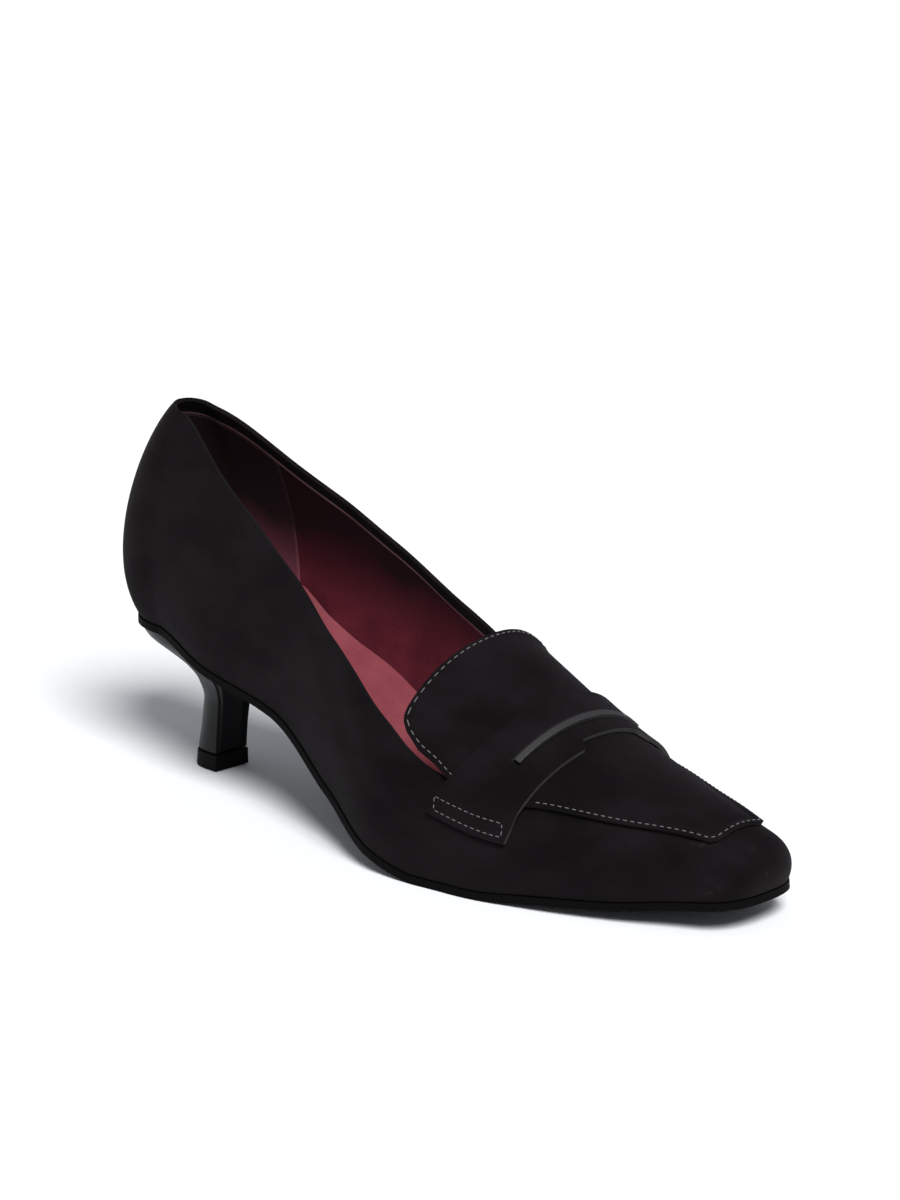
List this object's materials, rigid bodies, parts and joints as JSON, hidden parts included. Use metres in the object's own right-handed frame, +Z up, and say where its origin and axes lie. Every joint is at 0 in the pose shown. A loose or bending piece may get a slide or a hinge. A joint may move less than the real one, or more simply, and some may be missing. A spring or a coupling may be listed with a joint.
{
  "type": "loafer pump",
  "caption": "Kitten-heel loafer pump with a crowned tongue, a slotted saddle strap and a stitched apron front, for the right foot.",
  "frame": {"origin": "middle of the heel tip's underside, on the floor", "axes": "+X from heel to toe, +Y to the inner side of the foot, +Z up"},
  "size_m": [0.2483, 0.0761, 0.1122],
  "materials": {
    "suede": "black suede with a soft nap",
    "sock_leather": "burgundy leather, soft sheen",
    "sole": "black, satin",
    "wrap_leather": "black smooth leather, polished",
    "top_lift": "black, matt",
    "binding": "grey smooth leather"
  },
  "bodies": {
    "root": {"upper": "suede", "apron": "suede", "saddle_strap": "suede", "slot_strip": "binding", "insole": "sock_leather", "outsole": "sole", "heel": "wrap_leather", "top_lift": "top_lift"}
  },
  "joints": []
}
